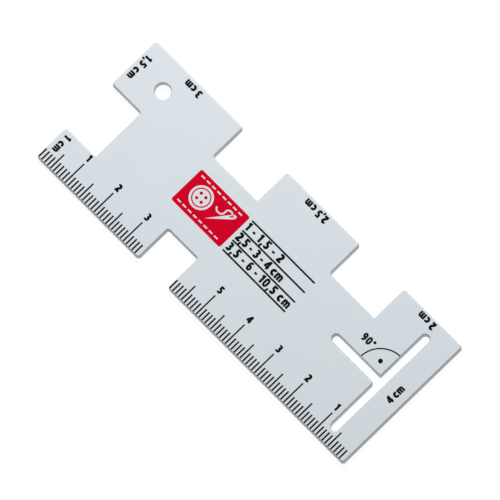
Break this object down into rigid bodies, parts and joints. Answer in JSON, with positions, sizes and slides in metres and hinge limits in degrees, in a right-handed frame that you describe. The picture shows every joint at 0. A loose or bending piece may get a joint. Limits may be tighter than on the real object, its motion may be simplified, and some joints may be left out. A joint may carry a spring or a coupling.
{
  "type": "hem gauge",
  "caption": "Flat moulded hem and seam gauge with stepped tabs and notches, two printed scales, right-angle marking slots and a hanging hole.",
  "frame": {"origin": "under the middle of the plate, on its back", "axes": "+X from the hanging-hole end to the slotted end, +Y from the scale edge to the tab edge, +Z out of the printed face"},
  "size_m": [0.105, 0.04, 0.0025],
  "materials": {
    "white_plastic": "satin, cool white, moulded",
    "black_ink": "matt printed film",
    "red_ink": "satin printed film"
  },
  "bodies": {
    "root": {"gauge_plate": "white_plastic", "short_scale_marks": "black_ink", "long_scale_marks": "black_ink", "right_angle_mark": "black_ink", "colour_panel": "red_ink", "ruled_lines": "black_ink"}
  },
  "joints": []
}
